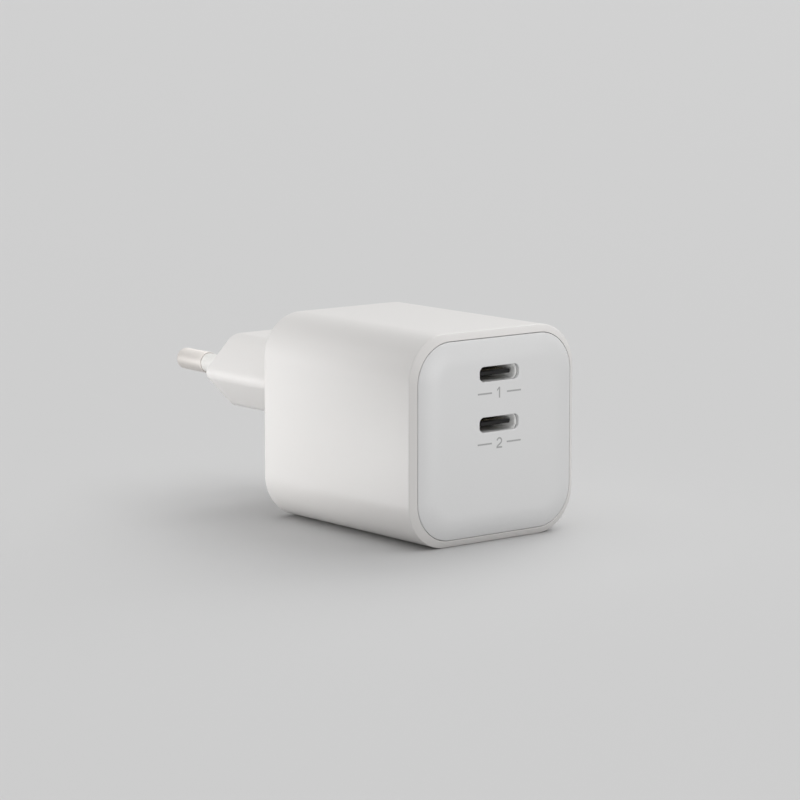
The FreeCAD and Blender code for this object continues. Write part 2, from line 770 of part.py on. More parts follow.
pieces = {
    "housing": make_housing(),
    "front_panel": make_front_panel(),
    "pin_carrier": make_pin_carrier(),
    "main_board": make_main_board(),
    "port_board": make_port_board(),
    "port_controller": make_port_controller(),
    "transformer_core": make_transformer_core(),
    "transformer_bobbin": make_transformer_bobbin(),
    "transformer_winding": make_transformer_winding(),
    "bulk_capacitor_front": make_bulk_capacitor(-1),
    "bulk_capacitor_rear": make_bulk_capacitor(1),
    "output_capacitor_left": make_output_capacitor(0),
    "output_capacitor_right": make_output_capacitor(1),
    "mains_filter_capacitor": make_mains_filter_capacitor(),
    "choke_core": make_choke_core(),
    "choke_winding": make_choke_winding(),
    "fuse": make_fuse(),
    "disc_capacitor": make_disc_capacitor(),
    "barrier_sheet": make_barrier_sheet(),
    "bridge_rectifier": make_package(rectifier_width, rectifier_depth, rectifier_height,
                                     0.0, rear_row_middle_y),
    "power_switch": make_package(switch_width, switch_depth, switch_height,
                                 bulk_x - bulk_diameter / 2, middle_row_y),
    "sync_rectifier": make_package(sync_width, sync_depth, sync_height,
                                   transformer_x + transformer_width / 4, barrier_y - sync_depth),
    "optocoupler": make_package(opto_width, opto_depth, opto_height, transformer_x, middle_row_y),
    "heat_spreader": make_heat_spreader(),
    "thermal_pad": make_thermal_pad(),
}
for name, level in port_levels.items():
    pieces["port_shell_" + name] = make_port_shell(level)
    pieces["port_tongue_" + name] = make_port_tongue(level)
    pieces["port_contacts_" + name] = make_port_contacts(level)
    pieces["buck_inductor_" + name] = make_buck_inductor(level)
for name, side in (("left", -1), ("right", 1)):
    pieces["pin_" + name] = make_pin(side)
    pieces["sleeve_" + name] = make_sleeve(side)
    pieces["contact_strip_" + name] = make_contact_strip(side)

os.makedirs("parts", exist_ok=True)
for name, shape in pieces.items():
    assert shape.isValid(), name + " is not a valid solid"
    print(name, "solids", len(shape.Solids), "volume", round(shape.Volume, 1))
    shape.exportStep("parts/" + name + ".step")
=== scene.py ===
# %% [markdown]
# A mains adapter with two sockets in front and a flat two-pin plug behind, shown as a studio product
# shot. The measured solids are loaded first and stay where they are. Everything after that is a
# skin, a finish, a lamp or the camera, so the sizes always come from the solids.

# %% Load the measured solids
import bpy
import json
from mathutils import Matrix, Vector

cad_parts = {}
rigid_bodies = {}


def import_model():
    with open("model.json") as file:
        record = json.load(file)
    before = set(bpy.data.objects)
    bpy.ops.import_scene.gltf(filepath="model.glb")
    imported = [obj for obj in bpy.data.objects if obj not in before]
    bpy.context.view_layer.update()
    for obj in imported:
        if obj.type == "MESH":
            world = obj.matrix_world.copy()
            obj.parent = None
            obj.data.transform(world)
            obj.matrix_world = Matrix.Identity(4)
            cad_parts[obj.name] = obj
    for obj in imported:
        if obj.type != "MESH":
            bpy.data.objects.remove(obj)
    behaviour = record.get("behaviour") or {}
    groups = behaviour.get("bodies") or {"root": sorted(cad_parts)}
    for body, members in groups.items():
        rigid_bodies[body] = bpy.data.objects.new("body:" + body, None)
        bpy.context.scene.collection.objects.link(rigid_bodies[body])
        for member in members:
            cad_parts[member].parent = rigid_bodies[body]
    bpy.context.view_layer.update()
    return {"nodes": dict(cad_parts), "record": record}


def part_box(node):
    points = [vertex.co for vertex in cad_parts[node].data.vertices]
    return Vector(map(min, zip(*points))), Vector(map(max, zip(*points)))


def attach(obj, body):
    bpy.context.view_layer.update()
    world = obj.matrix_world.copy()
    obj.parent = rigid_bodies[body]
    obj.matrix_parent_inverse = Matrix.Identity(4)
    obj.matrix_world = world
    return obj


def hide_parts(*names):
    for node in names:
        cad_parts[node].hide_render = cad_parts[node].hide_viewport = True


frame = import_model()

import bmesh
import bpy
import json
import math
from mathutils import Vector

MM = 0.001

# %% [markdown]
# The camera comes before any piece, because every later comparison is made through it. A long lens
# far away keeps the cube's edges almost parallel, as in a catalogue picture. Its place was worked
# out from the picture's straight edges, so two turns and one position are all it needs here.

# %% Camera
lens_mm, sensor_mm = 146.036, 36.0
camera_place = Vector((-361.2525, -462.1578, 109.7814))
look_down, look_right = 8.6917, 38.8557
camera_data = bpy.data.cameras.new("catalogue_camera")
camera_data.lens = lens_mm
camera_data.sensor_width = sensor_mm
camera = bpy.data.objects.new("catalogue_camera", camera_data)
camera.location = camera_place * MM
camera.rotation_euler = (math.radians(90 - look_down), 0.0, math.radians(-look_right))
bpy.context.scene.collection.objects.link(camera)
bpy.context.scene.camera = camera
print("camera", round(camera.location.length, 3), "m from the origin, lens", lens_mm, "mm")

# %% [markdown]
# Sizes are read from the solids wherever a box can give them. The few that a box can't give, such as
# corner radii and wall steps, are named here once in millimetres and used by every skin.

# %% Sizes
body_low, body_high = [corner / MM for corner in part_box("housing")]
panel_low, panel_high = [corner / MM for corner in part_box("front_panel")]
gap_y, plug_end_y, front_y = body_low.y, body_high.y, panel_low.y
half_body = body_high.x
half_panel = panel_high.x
middle_z = (body_low.z + body_high.z) / 2
plug_length = 19.4
rear_y = plug_end_y - plug_length
body_corner, rear_edge = 7.9, 1.2
rim_width, rim_slope, rim_edge = 1.26, 0.84, 0.25
seat_depth, wall, rear_wall = 1.5, 2.0, 2.2
panel_corner, panel_gap = 7.05, 0.1
print("gap at", round(gap_y, 3), "rear face at", round(rear_y, 3), "plug ends at", round(plug_end_y, 3))

# %% [markdown]
# Moulded plastic is all soft outlines that change from station to station. A subdivision cage could
# do it, but its corner radii are hard to name in millimetres. Here each piece is a stack of loops: a
# profile says how far each loop is set in and where it lies. Points close to the arcs keep the flats
# from shading as if they were bent.

# %% Profiles and loops
def rounded_profile(corners, steps=6):
    """Path through (offset, along, radius) corners, with an arc in place of each rounded corner."""
    path = []
    for index, (offset, along, radius) in enumerate(corners):
        here = Vector((offset, along))
        if radius == 0:
            path.append(here)
            continue
        before = (Vector(corners[index - 1][:2]) - here).normalized()
        after = (Vector(corners[(index + 1) % len(corners)][:2]) - here).normalized()
        half_angle = before.angle(after) / 2
        centre = here + (before + after).normalized() * (radius / math.sin(half_angle))
        start = here + before * (radius / math.tan(half_angle)) - centre
        end = here + after * (radius / math.tan(half_angle)) - centre
        sweep = math.pi - 2 * half_angle
        for step in range(steps + 1):
            share = step / steps
            blend = start * math.sin((1 - share) * sweep) + end * math.sin(share * sweep)
            path.append(centre + blend / math.sin(sweep))
    return path


def rounded_loop(half_width, half_height, radius, y, z, arc_steps=20, support=0.4):
    """Rounded rectangle across the length, with support points on the straights beside its arcs."""
    points = []
    for quarter, (side_x, side_z) in enumerate(((1, 1), (-1, 1), (-1, -1), (1, -1))):
        centre = Vector((side_x * (half_width - radius), y, z + side_z * (half_height - radius)))
        spans = (half_height - radius, half_width - radius)
        angles = [(quarter + step / arc_steps) * math.pi / 2 for step in range(arc_steps + 1)]
        arc = [centre + Vector((math.cos(a), 0, math.sin(a))) * radius for a in angles]
        for end, span, sign in ((0, spans[quarter % 2], -1), (-1, spans[1 - quarter % 2], 1)):
            along = Vector((-math.sin(angles[end]), 0, math.cos(angles[end])))
            lead = arc[end] + along * sign * min(support, span / 2)
            arc.insert(0 if end == 0 else len(arc), lead)
        points += arc
    return points


print("points in a loop", len(rounded_loop(half_body, half_body, body_corner, rear_y, middle_z)))

# %% [markdown]
# The loops are joined by quads, and flat ends with holes in them are filled by triangles. A finished
# piece is shaded smooth, apart from edges that turn sharply. It is then told which body it rides on
# and which solids it stands for.

# %% Skins and finished pieces
sharp_degrees, weld_distance = 40, 1e-7


def skin(mesh, loops):
    """Joins loops of equal length by quads and returns their vertices."""
    rings = [[mesh.verts.new(point * MM) for point in loop] for loop in loops]
    for first, second in zip(rings, rings[1:]):
        for index in range(len(first)):
            mesh.faces.new((first[index - 1], first[index], second[index], second[index - 1]))
    return rings


def fill(mesh, outer, *holes):
    """Fills a flat ring of vertices and leaves the holes open."""
    edges = []
    for ring in (outer, *holes):
        for index in range(len(ring)):
            pair = (ring[index - 1], ring[index])
            edges.append(mesh.edges.get(pair) or mesh.edges.new(pair))
    bmesh.ops.triangle_fill(mesh, use_beauty=True, edges=edges)


def finished_piece(name, mesh, material, slot, *nodes):
    """Turns a mesh into a smooth-shaded piece that rides on the adapter and stands for solids."""
    bmesh.ops.recalc_face_normals(mesh, faces=mesh.faces)
    open_edges = sum(1 for edge in mesh.edges if not edge.is_manifold)
    data = bpy.data.meshes.new(name)
    mesh.to_mesh(data)
    mesh.free()
    data.shade_smooth()
    data.set_sharp_from_angle(angle=math.radians(sharp_degrees))
    data.materials.append(material)
    piece = bpy.data.objects.new(name, data)
    bpy.context.scene.collection.objects.link(piece)
    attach(piece, "root")
    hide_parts(*nodes)
    print(name, "faces", len(data.polygons), "open edges", open_edges)


print("edges that turn by more than", sharp_degrees, "degrees stay sharp")

# %% [markdown]
# Every finish is built from nodes on the piece's own Object coordinates, in metres. Colours are
# written as hex codes, because that is how one reads them off a picture, and turned to linear light
# by one function. One small function adds a node, and one builds the pattern most finishes share:
# a fine grain that tints, roughens and dents the surface a little.

# %% Colour and node helpers
noise_low, noise_high, noise_detail = 0.25, 0.75, 3.0


def linear(hex_code):
    """Linear colour of an sRGB hex code."""
    channels = [int(hex_code[start:start + 2], 16) / 255 for start in (1, 3, 5)]
    return [c / 12.92 if c <= 0.04045 else ((c + 0.055) / 1.055) ** 2.4 for c in channels] + [1.0]


def add(tree, kind, settings=None, links=None):
    """Adds a node, sets its properties and inputs, and links its inputs to (node, output) pairs."""
    node = tree.nodes.new(kind)
    for key, value in (settings or {}).items():
        if isinstance(key, int) or key in node.inputs:
            node.inputs[key].default_value = value
        else:
            setattr(node, key, value)
    for key, (source, output) in (links or {}).items():
        tree.links.new(source.outputs[output], node.inputs[key])
    return node


def grained(name, dark, light, grain_mm, roughness, spread, dent_mm, metallic=0.0, ior=1.5,
            stretch=(1, 1, 1)):
    """Finish whose grain shifts the colour, the roughness by its spread, and the height by its dents."""
    material = bpy.data.materials.new(name)
    material.use_nodes = True
    tree = material.node_tree
    tree.nodes.clear()
    place = add(tree, "ShaderNodeTexCoord")
    turn = add(tree, "ShaderNodeMapping", {"Scale": stretch}, {"Vector": (place, "Object")})
    grain = add(tree, "ShaderNodeTexNoise", {"Scale": 1 / (grain_mm * MM), "Detail": noise_detail},
                {"Vector": (turn, "Vector")})
    tint = add(tree, "ShaderNodeMix", {"data_type": "RGBA", 6: linear(dark), 7: linear(light)},
               {0: (grain, "Fac")})
    rough = add(tree, "ShaderNodeMapRange",
                {"From Min": noise_low, "From Max": noise_high, "To Min": roughness - spread,
                 "To Max": roughness + spread}, {"Value": (grain, "Fac")})
    dent = add(tree, "ShaderNodeBump", {"Strength": 1.0, "Distance": dent_mm * MM},
               {"Height": (grain, "Fac")})
    surface = add(tree, "ShaderNodeBsdfPrincipled", {"Metallic": metallic, "IOR": ior},
                  {"Base Color": (tint, 2), "Roughness": (rough, "Result"), "Normal": (dent, "Normal")})
    add(tree, "ShaderNodeOutputMaterial", links={"Surface": (surface, "BSDF")})
    return material


print("middle grey in linear light", round(linear("#808080")[0], 3))

# %% [markdown]
# The outside is white polycarbonate from a spark-eroded tool: satin, with a grain so fine that it
# only softens the highlights. The grain of about 0.05 mm is drawn at 0.3 mm, because at its true
# size it would fall between pixels. Each finish gives its two tints, the grain in millimetres, the
# roughness and its spread, and how deep the dents are.

# %% Outer finishes
# White polycarbonate of the housing: satin and a trace warm.
housing_white = grained("white_polycarbonate_satin", "#DAD8D6", "#DDDBD9", 0.3, 0.42, 0.04, 0.0006,
                        ior=1.585)
# White polycarbonate of the panel: the same satin from another tool, a trace cooler.
panel_white = grained("white_polycarbonate_panel", "#D9D9D9", "#DCDCDC", 0.3, 0.42, 0.04, 0.0006,
                      ior=1.585)
# White polyamide of the pins' sleeves: a little duller than the housing.
sleeve_white = grained("white_polyamide_sleeve", "#DEDDDA", "#E4E3E0", 0.4, 0.5, 0.05, 0.001, ior=1.53)
# Turned nickel plate: the lathe leaves rings round the pin, so the grain is squeezed along its length.
pin_nickel = grained("turned_nickel_plate", "#D6D2CE", "#DEDAD6", 0.5, 0.55, 0.04, 0.0005,
                     metallic=1.0, stretch=(0.12, 3, 0.12))
# Drawn stainless steel: dull grey with faint draw marks along the shell.
port_steel = grained("drawn_stainless_steel", "#E0E0DF", "#E7E7E6", 0.25, 0.7, 0.05, 0.001,
                     metallic=1.0, stretch=(3, 0.3, 3))
# Black glass-filled polymer of the tongues: deep black with a low sheen.
tongue_black = grained("black_filled_polymer", "#070707", "#0C0C0C", 0.2, 0.35, 0.08, 0.002, ior=1.45)
# Gold flash on the contacts: so thin that the nickel below pales it.
contact_gold = grained("gold_flash_contact", "#B3A383", "#C0B193", 0.2, 0.25, 0.06, 0.0005,
                       metallic=1.0)
print("outer finishes", [m.name for m in bpy.data.materials if m.users == 0])

# %% [markdown]
# The housing is one moulding: a square cup whose front edge slopes down to the panel's gap, with the
# hexagonal plug block on its rear wall. One profile runs from the bottom of the cup, over the seat
# and the sloping rim, along the outside to the rear face. The rim's outer corner keeps a small
# radius, because that edge catches a thin bright line of light.

# %% Housing: cup
seat_y = gap_y + seat_depth
cup_floor_y = rear_y - rear_wall
lip_edge, rear_support, rounding_error = 0.06, 0.5, 1e-6


def body_loop(inset, y):
    """Outline of the cup, set in from the outside. The rim's inner corner is rounder than an offset."""
    drop = (body_corner - panel_corner - panel_gap) / rim_width
    on_rim = inset <= rim_width and y < seat_y + rounding_error
    corner = body_corner - inset * (drop if on_rim else 1)
    return rounded_loop(half_body - inset, half_body - inset, corner, y, middle_z)


cup_corners = [
    (wall, cup_floor_y, 0), (wall, seat_y, 0), (rim_width, seat_y, 0), (rim_width, gap_y, lip_edge),
    (0, gap_y + rim_slope, rim_edge), (0, rear_y, rear_edge), (rear_edge + rear_support, rear_y, 0),
]
housing_mesh = bmesh.new()
cup_rings = skin(housing_mesh, [body_loop(inset, y) for inset, y in rounded_profile(cup_corners)])
housing_mesh.faces.new(cup_rings[0])
housing_mesh.faces.new(cup_rings[-1])
print("cup loops", len(cup_rings), "of", len(cup_rings[0]), "points")

# %% [markdown]
# The plug block is a flat hexagon with 45 degree flanks, the outline that fits every European
# socket. Its nose and shoulders are rounded by different radii, so the loop is drawn corner by
# corner. The pins lean, so their circles are drawn round a leaning axis.

# %% Housing: outlines of the plug block
plug_low_z, plug_high_z = 17.4, 31.1
plug_z = (plug_low_z + plug_high_z) / 2
half_plug, nose_radius, shoulder_radius, plug_edge = 17.3, 1.7, 4.0, 0.6
pin_spacing_root, pin_spacing_tip, pin_length, pin_bare = 18.6, 17.5, 19.0, 8.6
pin_radius, sleeve_radius, hole_radius, hole_depth = 2.0, 1.8, 1.9, 2.0
toe = math.atan((pin_spacing_root - pin_spacing_tip) / 2 / pin_length)
corner_support = 0.3


def plug_loop(inset, y, arc_steps=8):
    """Hexagon of the plug, set in evenly, with rounded corners and support points beside them."""
    half_height = (plug_high_z - plug_low_z) / 2 - inset
    vertex = half_plug + nose_radius * (math.sqrt(2) - 1) - inset * math.sqrt(2)
    shoulder = vertex - half_height
    nose, bend = nose_radius - inset, shoulder_radius - inset
    corners = [(vertex, 0, nose), (shoulder, half_height, bend), (-shoulder, half_height, bend),
               (-vertex, 0, nose), (-shoulder, -half_height, bend), (shoulder, -half_height, bend)]
    path = rounded_profile(corners, arc_steps)
    points = []
    for index, point in enumerate(path):
        before, after = path[index - 1], path[(index + 1) % len(path)]
        if index % (arc_steps + 1) == 0:
            points.append(point + (before - point).normalized() * corner_support)
        points.append(point)
        if index % (arc_steps + 1) == arc_steps:
            points.append(point + (after - point).normalized() * corner_support)
    return [Vector((p.x, y, plug_z + p.y)) for p in points]


def pin_ring(side, radius, along, count=48):
    """Circle round one pin's leaning axis, at a distance from the plug's end face."""
    lean = Vector((-side * math.sin(toe), math.cos(toe), 0))
    across = Vector((math.cos(toe), side * math.sin(toe), 0))
    centre = Vector((side * pin_spacing_root / 2, plug_end_y, plug_z)) + lean * along
    angles = [2 * math.pi * index / count for index in range(count)]
    return [centre + across * math.cos(a) * radius + Vector((0, 0, math.sin(a) * radius))
            for a in angles]


print("plug", 2 * half_plug, "mm wide, pins lean by", round(math.degrees(toe), 2), "degrees")

# %% [markdown]
# The block and the cup are one moulding. A boolean union would break up the neat rows of quads, so
# the block's skin simply starts a little inside the rear wall. Its end face has two holes for the
# pins and is filled round them.

# %% Housing: plug block
plug_overlap, end_support = 0.6, 0.4
plug_corners = [(0, rear_y - plug_overlap, 0), (0, plug_end_y, plug_edge),
                (plug_edge + end_support, plug_end_y, 0)]
plug_rings = skin(housing_mesh, [plug_loop(inset, y) for inset, y in rounded_profile(plug_corners)])
housing_mesh.faces.new(plug_rings[0])
pin_holes = []
for side in (-1, 1):
    mouth = [Vector((p.x, plug_end_y, p.z)) for p in pin_ring(side, hole_radius, 0)]
    hole = skin(housing_mesh, [mouth, pin_ring(side, hole_radius, -hole_depth)])
    housing_mesh.faces.new(hole[-1])
    pin_holes.append(hole[0])
fill(housing_mesh, plug_rings[-1], *pin_holes)
finished_piece("housing_moulding", housing_mesh, housing_white, "housing_plastic", "housing")

# %% [markdown]
# The front panel is a lid like a very flat pillow: level in the middle, where the sockets are, and
# falling away over its outer few millimetres. Behind it a skirt slides into the cup. Its outlines
# and those of the sockets are all rounded rectangles, so one loop function draws them.

# %% Front panel: outlines
crown_width, panel_edge, print_thick = 4.3, 0.2, 0.01
face_y = front_y + print_thick
crown = gap_y - face_y
skirt_clear, skirt_thick, skirt_depth, panel_thick = 0.1, 1.2, 2.6, 2.4
slot_half_width, slot_half_height, slot_radius, slot_mouth, slot_lip = 4.4, 1.32, 0.95, 0.15, 0.5
socket_levels = {}
for name in ("upper", "lower"):
    shell_low, shell_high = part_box("port_shell_" + name)
    socket_levels[name] = (shell_low.z + shell_high.z) / 2 / MM
shell_half_width, shell_half_height, shell_wall, shell_clear = 4.47, 1.6, 0.3, 0.1
# A little less than a half circle at the shell's ends keeps neighbouring points apart.
shell_roundness = 0.998


def panel_loop(inset, y):
    """Outline of the panel, set in evenly."""
    return rounded_loop(half_panel - inset, half_panel - inset, panel_corner - inset, y, middle_z)


def skirt_loop(inset, y):
    """Outline of the skirt behind the panel, which slides into the cup."""
    half = half_body - wall - skirt_clear - inset
    return rounded_loop(half, half, body_corner - wall - skirt_clear - inset, y, middle_z)


def shell_loop(grow, y, z):
    """Round-ended outline of a socket's steel shell."""
    half_height = shell_half_height + grow
    return rounded_loop(shell_half_width + grow, half_height, half_height * shell_roundness, y, z)


print("crown", round(crown, 3), "mm, sockets at", {k: round(v, 2) for k, v in socket_levels.items()})

# %% [markdown]
# The fall at the panel's edge is one arc that is tangent to the level part, so there is no line
# between them, as a bevel would leave. The slots' mouths are softly rounded, and behind each is a
# step to the wider pocket that takes the socket's steel shell.

# %% Front panel: lid
crown_support, mouth_support, crown_steps = 0.1, 0.04, 12
bend = 2 * math.atan(crown / crown_width)
crown_radius = crown_width / math.sin(bend)
angles = [bend * (1 - step / crown_steps) for step in range(crown_steps + 1)]
arc = [(crown_width - crown_radius * math.sin(a), face_y + crown_radius * (1 - math.cos(a)), 0)
       for a in angles]
edge_corner = (arc[0][0], arc[0][1], panel_edge)
level_corner = (crown_width + crown_support, face_y, 0)
face_path = rounded_profile([(0, seat_y, 0), edge_corner] + arc[1:] + [level_corner], 4)
panel_mesh = bmesh.new()
skirt_end_y, panel_back_y = seat_y + skirt_depth, front_y + panel_thick
back_loops = [skirt_loop(skirt_thick, panel_back_y), skirt_loop(skirt_thick, skirt_end_y),
              skirt_loop(0, skirt_end_y), skirt_loop(0, seat_y)]
panel_rings = skin(panel_mesh, back_loops + [panel_loop(inset, y) for inset, y in face_path])
front_holes, back_holes = [], []
for level in socket_levels.values():
    mouth = rounded_profile([(slot_mouth + mouth_support, face_y, 0), (0, face_y, slot_mouth),
                             (0, front_y + slot_lip, 0)], 5)
    loops = [rounded_loop(slot_half_width + grow, slot_half_height + grow, slot_radius + grow, y, level)
             for grow, y in mouth]
    loops += [shell_loop(shell_clear, y, level) for y in (front_y + slot_lip, panel_back_y)]
    rings = skin(panel_mesh, loops)
    front_holes.append(rings[0])
    back_holes.append(rings[-1])
fill(panel_mesh, panel_rings[-1], *front_holes)
fill(panel_mesh, panel_rings[0], *back_holes)
finished_piece("front_panel_lid", panel_mesh, panel_white, "panel_plastic", "front_panel")

# %% [markdown]
# The pins are turned on a lathe, so they are loops of circles along a leaning axis: the two pins toe
# in towards each other to grip the socket. Only the rounded tip is bare metal. The neck behind it is
# thinner and carries a white sleeve, so that no live metal shows while the plug is pushed in.

# %% Pins and sleeves
pin_neck, pin_root, pin_edge, pin_tip, tip_flat = 1.5, -9.2, 0.08, 1.0, 0.7
collar_radius, collar_back, collar_front = 2.8, -4.4, -3.2
sleeve_clear, sleeve_edge = 0.02, 0.06
sleeve_bore = pin_neck + sleeve_clear
bare_start = pin_length - pin_bare
pin_corners = [
    (sleeve_radius, pin_root, 0), (sleeve_radius, collar_back, 0), (collar_radius, collar_back, 0),
    (collar_radius, collar_front, 0), (sleeve_radius, collar_front, 0), (sleeve_radius, -hole_depth, 0),
    (pin_neck, -hole_depth, 0), (pin_neck, bare_start, 0), (pin_radius, bare_start, pin_edge),
    (pin_radius, pin_length, pin_tip), (tip_flat, pin_length, 0),
]
sleeve_corners = [
    (sleeve_bore, -hole_depth, 0), (sleeve_bore, bare_start, 0), (sleeve_radius, bare_start, sleeve_edge),
    (sleeve_radius, -hole_depth, 0), (sleeve_bore, -hole_depth, 0),
]
for name, side in (("left", -1), ("right", 1)):
    pin_mesh = bmesh.new()
    rings = skin(pin_mesh, [pin_ring(side, r, s) for r, s in rounded_profile(pin_corners, 8)])
    pin_mesh.faces.new(rings[0])
    pin_mesh.faces.new(rings[-1])
    finished_piece("turned_pin_" + name, pin_mesh, pin_nickel, "pin_nickel", "pin_" + name)
    sleeve_mesh = bmesh.new()
    skin(sleeve_mesh, [pin_ring(side, r, s) for r, s in rounded_profile(sleeve_corners)])
    bmesh.ops.remove_doubles(sleeve_mesh, verts=sleeve_mesh.verts, dist=weld_distance)
    finished_piece("pin_sleeve_" + name, sleeve_mesh, sleeve_white, "sleeve_plastic", "sleeve_" + name)

# %% [markdown]
# Each socket is a drawn steel shell with a slight lead-in at its mouth, and inside it a black tongue
# on a base that fills the back. A dark plane in the slot would do from afar, but the camera looks
# straight in, so the shell keeps its real wall and the tongue its real thickness.

# %% Socket shells and tongues
shell_front_y = front_y + slot_lip + shell_clear
shell_length, tongue_recess, base_depth = 7.2, 0.55, 2.0
tongue_half_width, tongue_half_height, tongue_radius = 3.345, 0.35, 0.2
lead_in, lead_in_depth = 0.08, 0.3
outer_edge, inner_edge, lead_in_edge = 0.05, 0.03, 0.1
tip_inset, tip_edge, base_clear = 0.15, 0.12, 0.03
shell_back_y = shell_front_y + shell_length
base_y = shell_back_y - base_depth
tip_y = shell_front_y + tongue_recess
shell_corners = [
    (0, shell_back_y, 0), (0, shell_front_y, outer_edge), (lead_in - shell_wall, shell_front_y, inner_edge),
    (-shell_wall, shell_front_y + lead_in_depth, lead_in_edge), (-shell_wall, shell_back_y, 0),
    (0, shell_back_y, 0),
]
tip_corners = [(-tip_inset, tip_y, 0), (0, tip_y, tip_edge), (0, base_y, 0)]
for name, level in socket_levels.items():
    shell_mesh = bmesh.new()
    skin(shell_mesh, [shell_loop(grow, y, level) for grow, y in rounded_profile(shell_corners)])
    bmesh.ops.remove_doubles(shell_mesh, verts=shell_mesh.verts, dist=weld_distance)
    finished_piece("socket_shell_" + name, shell_mesh, port_steel, "port_steel", "port_shell_" + name)
    tongue_mesh = bmesh.new()
    loops = [rounded_loop(tongue_half_width + grow, tongue_half_height + grow, tongue_radius + grow,
                          y, level) for grow, y in rounded_profile(tip_corners)]
    loops += [shell_loop(-shell_wall - base_clear, y, level) for y in (base_y, shell_back_y)]
    rings = skin(tongue_mesh, loops)
    tongue_mesh.faces.new(rings[0])
    tongue_mesh.faces.new(rings[-1])
    finished_piece("socket_tongue_" + name, tongue_mesh, tongue_black, "tongue_plastic",
                   "port_tongue_" + name)

# %% [markdown]
# Twelve gold contacts lie on each face of a tongue at a fixed pitch. Repeats like these suit
# Geometry Nodes: one rounded strip is drawn, set on a line of points, copied to the lower face and
# turned into plain mesh. Count, pitch and sizes are inputs, so another connector needs no new tree.

# %% Contact rows: inputs
contact_tree = bpy.data.node_groups.new("contact_rows", "GeometryNodeTree")
contact_sizes = {"Count": 12, "Pitch": 0.5 * MM, "Width": 0.26 * MM, "Length": 2.6 * MM,
                 "Thickness": 0.06 * MM, "Tongue Height": 2 * tongue_half_height * MM}
identifiers = {}
for label, value in contact_sizes.items():
    kind = "NodeSocketInt" if label == "Count" else "NodeSocketFloat"
    socket = contact_tree.interface.new_socket(label, in_out="INPUT", socket_type=kind)
    identifiers[label] = socket.identifier
for label, kind in (("First", "NodeSocketVector"), ("Finish", "NodeSocketMaterial")):
    socket = contact_tree.interface.new_socket(label, in_out="INPUT", socket_type=kind)
    identifiers[label] = socket.identifier
contact_tree.interface.new_socket("Geometry", in_out="OUTPUT", socket_type="NodeSocketGeometry")
given = add(contact_tree, "NodeGroupInput")
print("inputs of the contact rows", list(identifiers))

# %% [markdown]
# A contact is stamped from thin sheet, so its corners are rounded and its faces flat. A cube would
# keep sharp corners. Here an outline is filled and raised by its thickness. Raising leaves the
# underside open, and a flipped copy of the filled outline closes it.

# %% Contact rows: one strip
contact_corner, corner_points = 0.08, 3
outline = add(contact_tree, "GeometryNodeCurvePrimitiveQuadrilateral",
              links={"Width": (given, "Width"), "Height": (given, "Length")})
corner = add(contact_tree, "GeometryNodeFilletCurve",
             {"mode": "POLY", "Count": corner_points, "Radius": contact_corner * MM},
             {"Curve": (outline, "Curve")})
plate = add(contact_tree, "GeometryNodeFillCurve", {"mode": "NGONS"}, {"Curve": (corner, "Curve")})
rise = add(contact_tree, "ShaderNodeCombineXYZ", links={"Z": (given, "Thickness")})
strip = add(contact_tree, "GeometryNodeExtrudeMesh", {"Offset Scale": 1.0, "Individual": False},
            {"Mesh": (plate, "Mesh"), "Offset": (rise, "Vector")})
under = add(contact_tree, "GeometryNodeFlipFaces", links={"Mesh": (plate, "Mesh")})
closed = add(contact_tree, "GeometryNodeJoinGeometry", links={"Geometry": (strip, "Mesh")})
contact_tree.links.new(under.outputs["Mesh"], closed.inputs["Geometry"])
welded = add(contact_tree, "GeometryNodeMergeByDistance", {"Distance": weld_distance},
             {"Geometry": (closed, "Geometry")})
print("nodes for one strip", len(contact_tree.nodes))

# %% [markdown]
# The strip is repeated on a line of points, which is quicker to change than twelve objects. The same
# row, lowered by the tongue's height and one thickness, gives the contacts underneath.

# %% Contact rows: above and below
stride = add(contact_tree, "ShaderNodeCombineXYZ", links={"X": (given, "Pitch")})
line = add(contact_tree, "GeometryNodeMeshLine",
           links={"Count": (given, "Count"), "Start Location": (given, "First"),
                  "Offset": (stride, "Vector")})
row = add(contact_tree, "GeometryNodeInstanceOnPoints",
          links={"Points": (line, "Mesh"), "Instance": (welded, "Geometry")})
depth = add(contact_tree, "ShaderNodeMath", {"operation": "ADD"},
            {0: (given, "Tongue Height"), 1: (given, "Thickness")})
sunk = add(contact_tree, "ShaderNodeMath", {"operation": "MULTIPLY", 1: -1.0}, {0: (depth, "Value")})
drop = add(contact_tree, "ShaderNodeCombineXYZ", links={"Z": (sunk, "Value")})
lower_row = add(contact_tree, "GeometryNodeTransform",
                links={"Geometry": (row, "Instances"), "Translation": (drop, "Vector")})
both = add(contact_tree, "GeometryNodeJoinGeometry", links={"Geometry": (row, "Instances")})
contact_tree.links.new(lower_row.outputs["Geometry"], both.inputs["Geometry"])
real = add(contact_tree, "GeometryNodeRealizeInstances", links={"Geometry": (both, "Geometry")})
dressed = add(contact_tree, "GeometryNodeSetMaterial",
              links={"Geometry": (real, "Geometry"), "Material": (given, "Finish")})
add(contact_tree, "NodeGroupOutput", links={"Geometry": (dressed, "Geometry")})
print("nodes for both rows", len(contact_tree.nodes))
